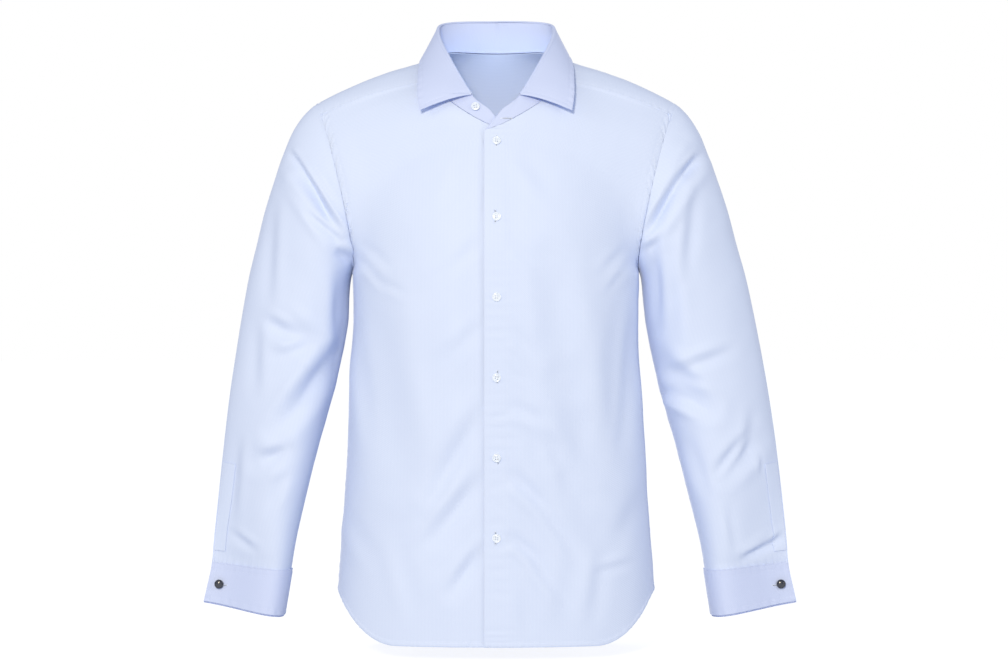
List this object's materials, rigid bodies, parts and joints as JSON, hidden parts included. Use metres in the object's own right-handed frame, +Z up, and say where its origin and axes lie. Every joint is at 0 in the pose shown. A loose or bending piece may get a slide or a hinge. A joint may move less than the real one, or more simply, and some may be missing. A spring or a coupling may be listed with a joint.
{
  "type": "long sleeve dress shirt",
  "caption": "Pale blue long sleeve dress shirt with a spread collar, shoulder yoke, shirt-tail hem and double cuffs held by dark links, filled out as worn and hollow.",
  "frame": {"origin": "midway between the two points where the shoulders meet the neck: the wearer's shoulders hold it", "axes": "+X to the wearer's left, +Y to the back, +Z up"},
  "size_m": [0.7426, 0.2607, 0.7975],
  "materials": {
    "shirting": "fine pale blue twill, soft sheen",
    "pearl": "white pearl, polished",
    "dark_enamel": "near-black navy enamel, satin"
  },
  "bodies": {
    "root": {"front_left": "shirting", "front_right": "shirting", "back": "shirting", "yoke": "shirting", "sleeve_left": "shirting", "sleeve_right": "shirting", "placket_left": "shirting", "placket_right": "shirting", "cuff_left": "shirting", "cuff_right": "shirting", "collar_stand": "shirting", "collar_leaf": "shirting", "button_1": "pearl", "button_2": "pearl", "button_3": "pearl", "button_4": "pearl", "button_5": "pearl", "button_6": "pearl", "button_collar": "pearl", "cufflink_left": "dark_enamel", "cufflink_right": "dark_enamel"}
  },
  "joints": []
}
